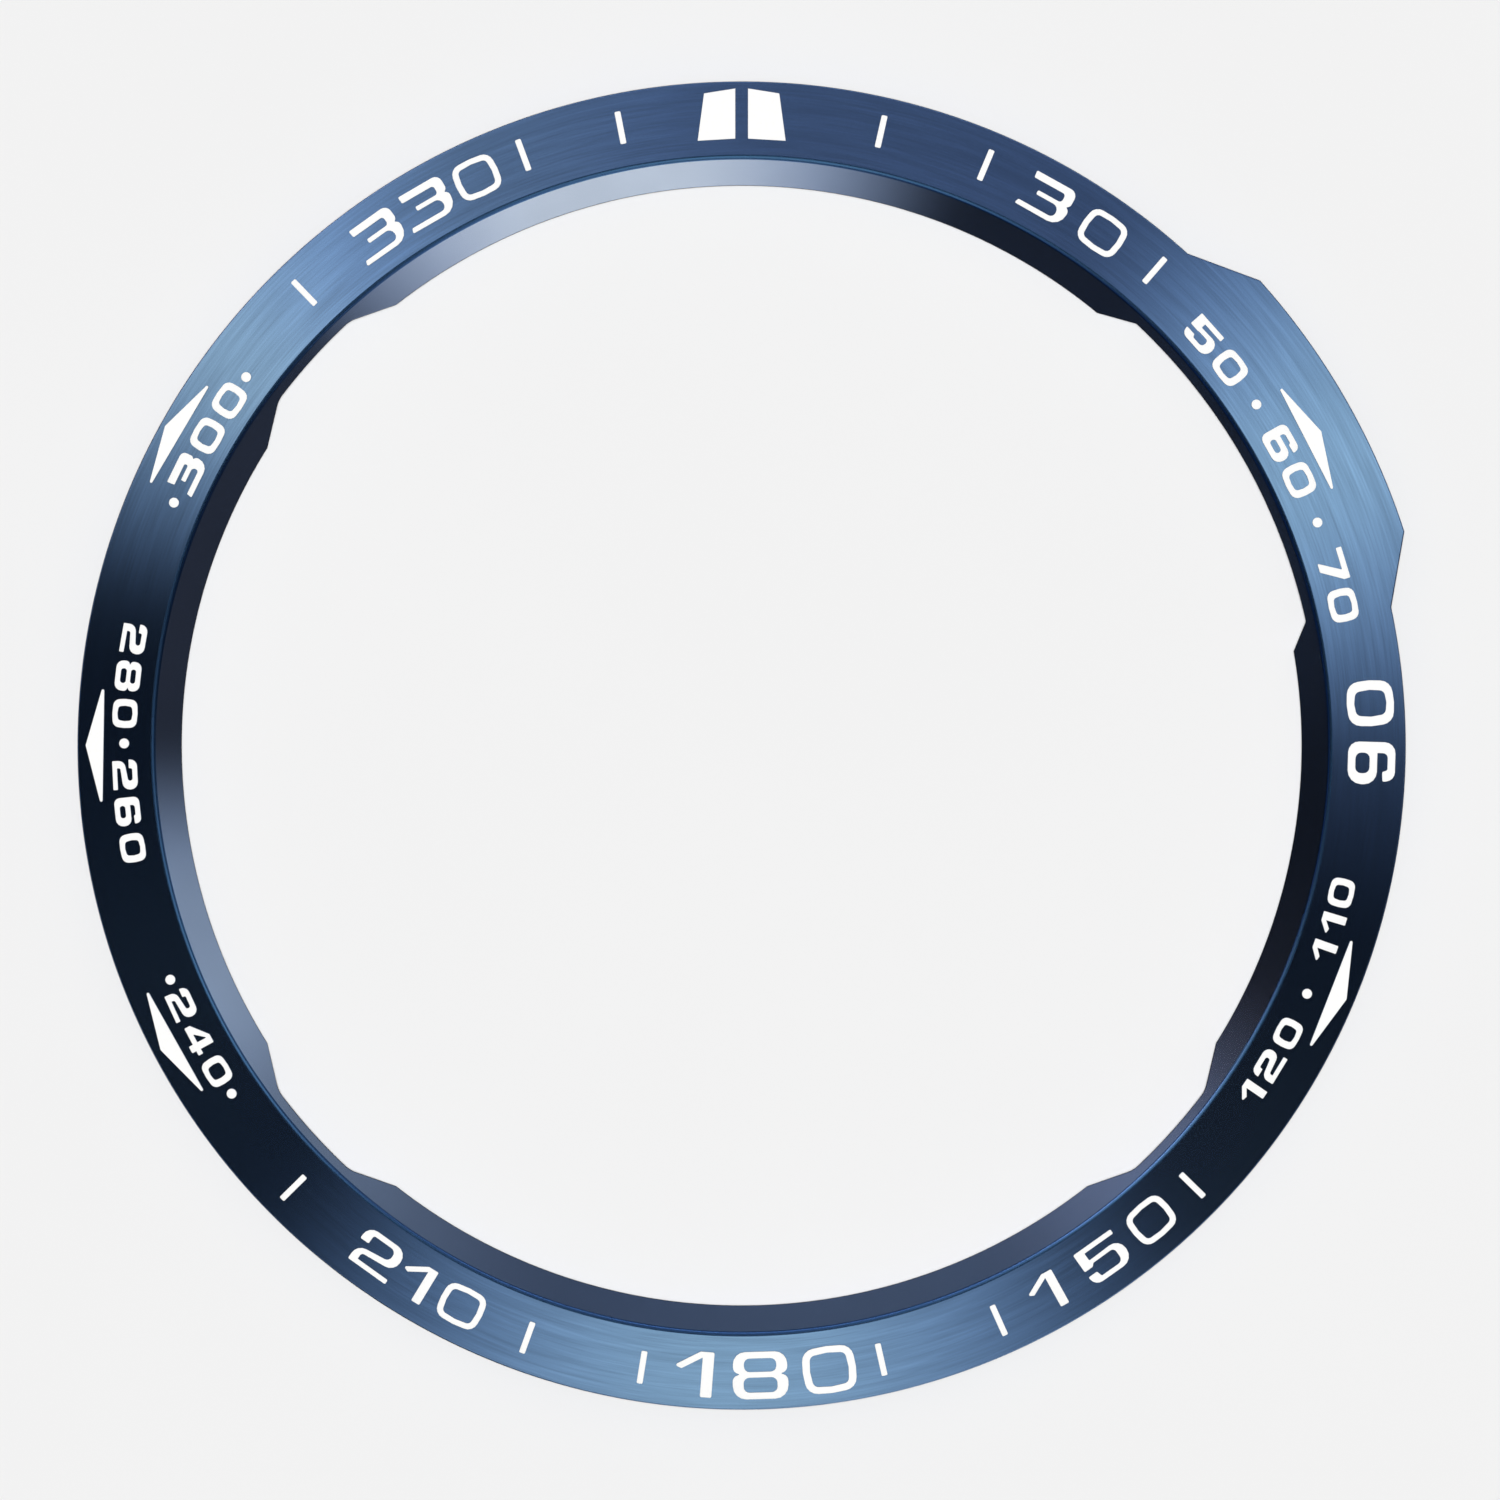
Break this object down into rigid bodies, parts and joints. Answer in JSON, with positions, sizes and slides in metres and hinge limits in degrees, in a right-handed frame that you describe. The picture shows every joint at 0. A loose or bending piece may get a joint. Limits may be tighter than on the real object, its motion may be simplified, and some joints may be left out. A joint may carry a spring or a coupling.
{
  "type": "watch bezel cover ring",
  "caption": "Stick-on metal cover ring for a round outdoor watch's bezel: sloping face with a degree scale, a guard bump on its rim, reliefs in its opening and a tape channel underneath.",
  "frame": {"origin": "on the ring's axis, in the plane of the collar's foot, its lowest face", "axes": "+Z along the ring's axis towards the wearer, +Y towards twelve o'clock, +X towards three o'clock"},
  "size_m": [0.048, 0.048, 0.0019],
  "materials": {
    "brushed_blue_steel": "blue coated stainless steel, brushed in circles round the ring",
    "white_lacquer": "opaque white printed lacquer, semi-gloss, raised a few hundredths of a millimetre",
    "adhesive_tape": "dark grey foamed acrylic tape, matt"
  },
  "bodies": {
    "root": {"bezel_ring": "brushed_blue_steel", "adhesive_tape": "adhesive_tape", "north_marker_left": "white_lacquer", "north_marker_right": "white_lacquer", "numeral_30": "white_lacquer", "numeral_90": "white_lacquer", "numeral_150": "white_lacquer", "numeral_180": "white_lacquer", "numeral_210": "white_lacquer", "numeral_330": "white_lacquer", "numeral_50": "white_lacquer", "numeral_60": "white_lacquer", "numeral_70": "white_lacquer", "numeral_110": "white_lacquer", "numeral_120": "white_lacquer", "numeral_240": "white_lacquer", "numeral_260": "white_lacquer", "numeral_280": "white_lacquer", "numeral_300": "white_lacquer", "pointer_1": "white_lacquer", "pointer_2": "white_lacquer", "pointer_3": "white_lacquer", "pointer_4": "white_lacquer", "pointer_5": "white_lacquer", "tick_1": "white_lacquer", "tick_2": "white_lacquer", "tick_3": "white_lacquer", "tick_4": "white_lacquer", "tick_5": "white_lacquer", "tick_6": "white_lacquer", "tick_7": "white_lacquer", "tick_8": "white_lacquer", "tick_9": "white_lacquer", "tick_10": "white_lacquer", "tick_11": "white_lacquer", "tick_12": "white_lacquer", "dot_1": "white_lacquer", "dot_2": "white_lacquer", "dot_3": "white_lacquer", "dot_4": "white_lacquer", "dot_5": "white_lacquer", "dot_6": "white_lacquer", "dot_7": "white_lacquer", "dot_8": "white_lacquer"}
  },
  "joints": []
}
